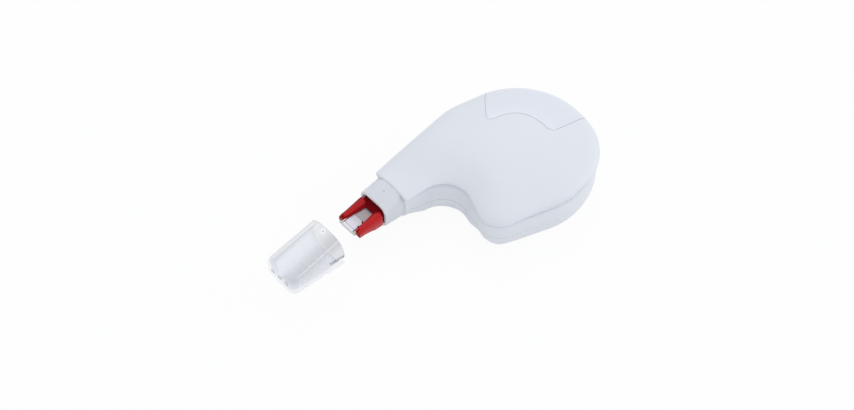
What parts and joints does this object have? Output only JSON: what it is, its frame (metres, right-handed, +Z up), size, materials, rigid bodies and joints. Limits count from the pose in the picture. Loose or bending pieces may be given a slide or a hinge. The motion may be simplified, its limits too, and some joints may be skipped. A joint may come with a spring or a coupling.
{
  "type": "correction tape dispenser",
  "caption": "Comma-shaped correction tape dispenser with a cushion-edged case, rocking roller tip, geared tape reels and a clear slide-on cap.",
  "frame": {"origin": "on the resting face, under the centre of the round end", "axes": "+X from the tip to the round end, +Y from the heel to the neck, +Z up, out of the cushioned side"},
  "size_m": [0.1035, 0.0489, 0.018],
  "materials": {
    "case_white": "satin",
    "collar_white": "satin",
    "film": "gloss",
    "cap_clear": "gloss",
    "tip_red": "gloss",
    "blade_clear": "gloss",
    "tape_white": "matt",
    "tape_used": "satin",
    "gear_white": "satin",
    "clutch_rubber": "matt"
  },
  "bodies": {
    "case": {"upper_shell": "case_white", "lower_shell": "case_white", "nose_collar": "collar_white", "label_film": "film", "feed_tape_run": "tape_white", "return_tape_run": "tape_used"},
    "cap": {"cap": "cap_clear"},
    "tip": {"tip_holder": "tip_red", "tip_blade": "blade_clear", "tip_tape": "tape_white"},
    "supply_reel": {"supply_core": "gear_white", "supply_tape_roll": "tape_white"},
    "drive": {"drive_gear": "gear_white", "clutch_ring": "clutch_rubber"},
    "takeup_reel": {"takeup_core": "gear_white", "takeup_pinion": "gear_white", "takeup_tape_roll": "tape_used"},
    "feed_guide": {"feed_roller": "gear_white"},
    "return_guide": {"return_roller": "gear_white"}
  },
  "joints": [
    {"name": "cap_slide", "type": "slide", "parent": "case", "child": "cap", "axis": [1, 0, 0], "range_m": [0, 0.0241]},
    {"name": "tip_rock", "type": "hinge", "parent": "case", "child": "tip", "pos_m": [-0.0374, 0.0157, 0.0086], "axis": [1, 0, 0], "range_deg": [-6, 6], "stiffness_Nm_per_rad": 0.02},
    {"name": "supply_spin", "type": "hinge", "parent": "case", "child": "supply_reel", "pos_m": [0.004, -0.002, 0.0086], "axis": [0, 0, 1], "continuous": true},
    {"name": "drive_spin", "type": "hinge", "parent": "case", "child": "drive", "pos_m": [0.004, -0.002, 0.005], "axis": [0, 0, 1], "continuous": true},
    {"name": "takeup_spin", "type": "hinge", "parent": "case", "child": "takeup_reel", "pos_m": [-0.01286, 0.01166, 0.005], "axis": [0, 0, 1], "continuous": true},
    {"name": "feed_guide_spin", "type": "hinge", "parent": "case", "child": "feed_guide", "pos_m": [-0.02553, 0.01176, 0.0086], "axis": [0, 0, 1], "continuous": true},
    {"name": "return_guide_spin", "type": "hinge", "parent": "case", "child": "return_guide", "pos_m": [-0.02553, 0.01609, 0.0086], "axis": [0, 0, 1], "continuous": true}
  ],
  "couplings": [
    {"joint": "drive_spin", "follows": "supply_spin", "ratio": 0.80439},
    {"joint": "takeup_spin", "follows": "supply_spin", "ratio": -2.2982},
    {"joint": "feed_guide_spin", "follows": "supply_spin", "ratio": -8.7333},
    {"joint": "return_guide_spin", "follows": "supply_spin", "ratio": 8.7333}
  ]
}
